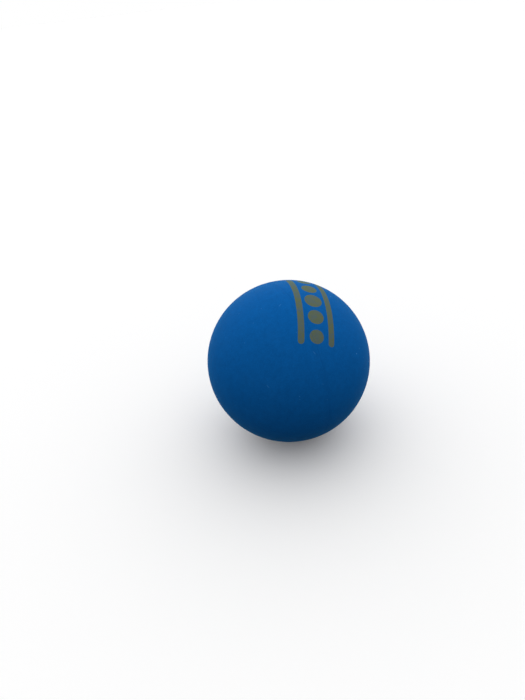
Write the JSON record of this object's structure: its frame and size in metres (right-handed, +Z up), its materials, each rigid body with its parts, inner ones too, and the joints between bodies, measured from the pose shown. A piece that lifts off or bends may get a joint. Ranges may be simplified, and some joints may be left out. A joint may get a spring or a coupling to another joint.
{
  "type": "racquetball",
  "caption": "Hollow rubber racquetball of moulded half shells joined by a cemented seam, matte blue, for indoor racket play.",
  "frame": {"origin": "centre of the ball", "axes": "+X square to the seam plane, through the middle of the printed half; +Z up, in the seam plane, so the ball rests on its seam; +Y in the seam plane"},
  "size_m": [0.0572, 0.0572, 0.0572],
  "materials": {
    "blue_rubber": "matte moulded rubber, buffed, with a faint pale bloom; a worn olive-gold printed mark, mostly on one half, reaching over the seam",
    "rubber_cement": "cured rubber cement, satin, a shade darker than the ball"
  },
  "bodies": {
    "root": {"printed_half_shell": "blue_rubber", "plain_half_shell": "blue_rubber", "seam_cement": "rubber_cement"}
  },
  "joints": []
}
